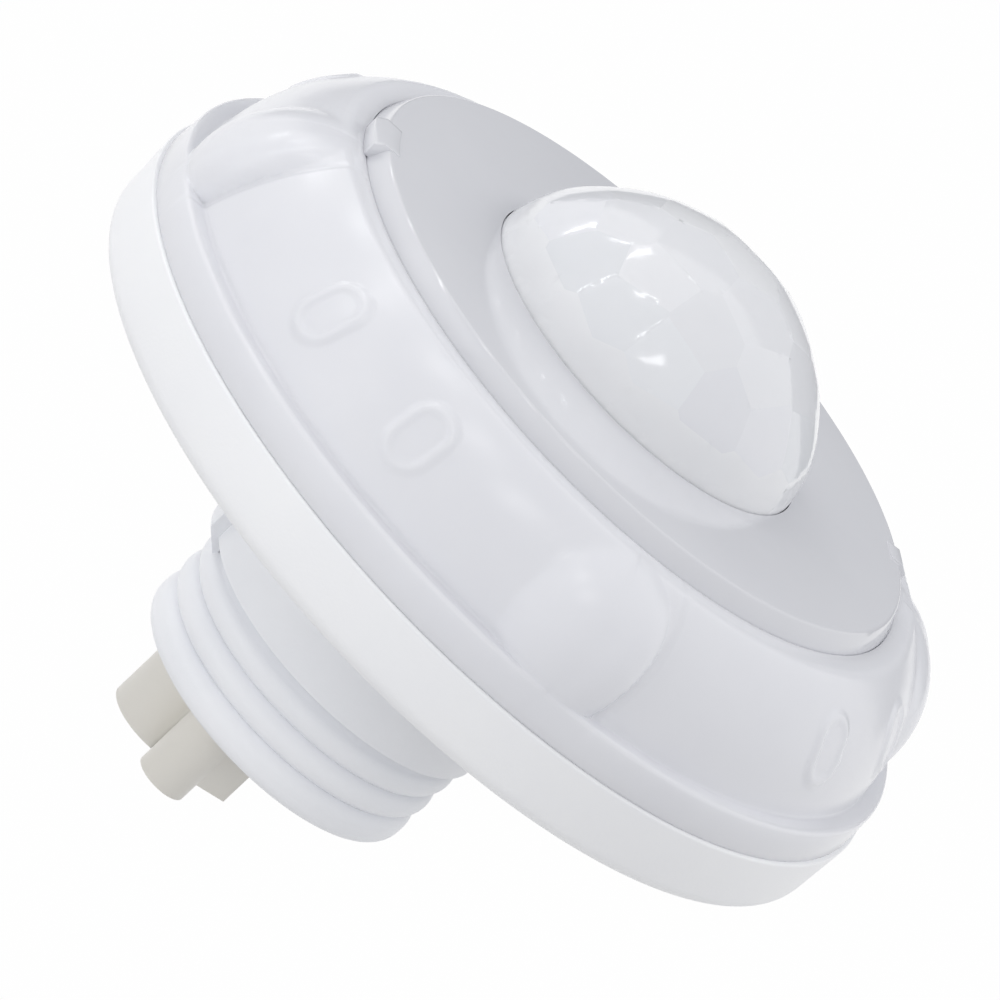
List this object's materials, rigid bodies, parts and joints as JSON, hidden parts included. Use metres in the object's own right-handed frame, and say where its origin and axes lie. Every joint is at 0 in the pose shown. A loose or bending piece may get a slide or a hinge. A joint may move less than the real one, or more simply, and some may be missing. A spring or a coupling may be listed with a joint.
{
  "type": "pir motion sensor",
  "caption": "Round ceiling motion sensor: white base ring, translucent cover with finger grips, glossy front disc, domed segmented lens and a ribbed neck with a cream plug.",
  "frame": {"origin": "centre of the base's back seating face, on the neck's axis", "axes": "+Z along the axis from the neck towards the lens, -Y towards the side that shows the plug's three housings"},
  "size_m": [0.09, 0.09, 0.0732],
  "materials": {
    "base_white": "satin white moulding",
    "neck_grey": "satin cool white moulding",
    "cover_translucent": "glossy translucent moulding",
    "disc_gloss": "glossy",
    "lens_white": "glossy translucent lens film",
    "seal_rubber": "matt",
    "screw_steel": "zinc plated",
    "board_green": "solder mask",
    "spacer_nylon": "matt",
    "can_nickel": "nickel plated",
    "window_dark": "polished filter",
    "contact_brass": "plated",
    "photocell_resin": "clear resin",
    "lamp_red": "clear resin",
    "chip_black": "moulded",
    "lead_tin": "tinned",
    "ceramic_tan": "fired",
    "relay_blue": "moulded",
    "capacitor_sleeve": "shrink sleeve",
    "winding_copper": "lacquered winding",
    "plug_cream": "natural nylon",
    "wire_red": "extruded insulation"
  },
  "bodies": {
    "root": {"base_housing": "base_white", "neck": "neck_grey", "neck_screws": "screw_steel", "cover": "cover_translucent", "cover_seal": "seal_rubber", "front_disc": "disc_gloss", "lens": "lens_white", "lens_retainer": "base_white", "sensor_board": "board_green", "sensor_spacer": "spacer_nylon", "sensor_can": "can_nickel", "sensor_window": "window_dark", "sensor_pins": "contact_brass", "photocell": "photocell_resin", "indicator_lamp": "lamp_red", "controller_chip": "chip_black", "controller_leads": "lead_tin", "chip_resistors": "chip_black", "chip_capacitors": "ceramic_tan", "board_standoffs": "contact_brass", "power_board": "board_green", "board_screws": "screw_steel", "relay": "relay_blue", "storage_capacitors": "capacitor_sleeve", "choke": "winding_copper", "plug_housing": "plug_cream", "plug_contacts": "contact_brass", "lead_wires": "wire_red"}
  },
  "joints": []
}
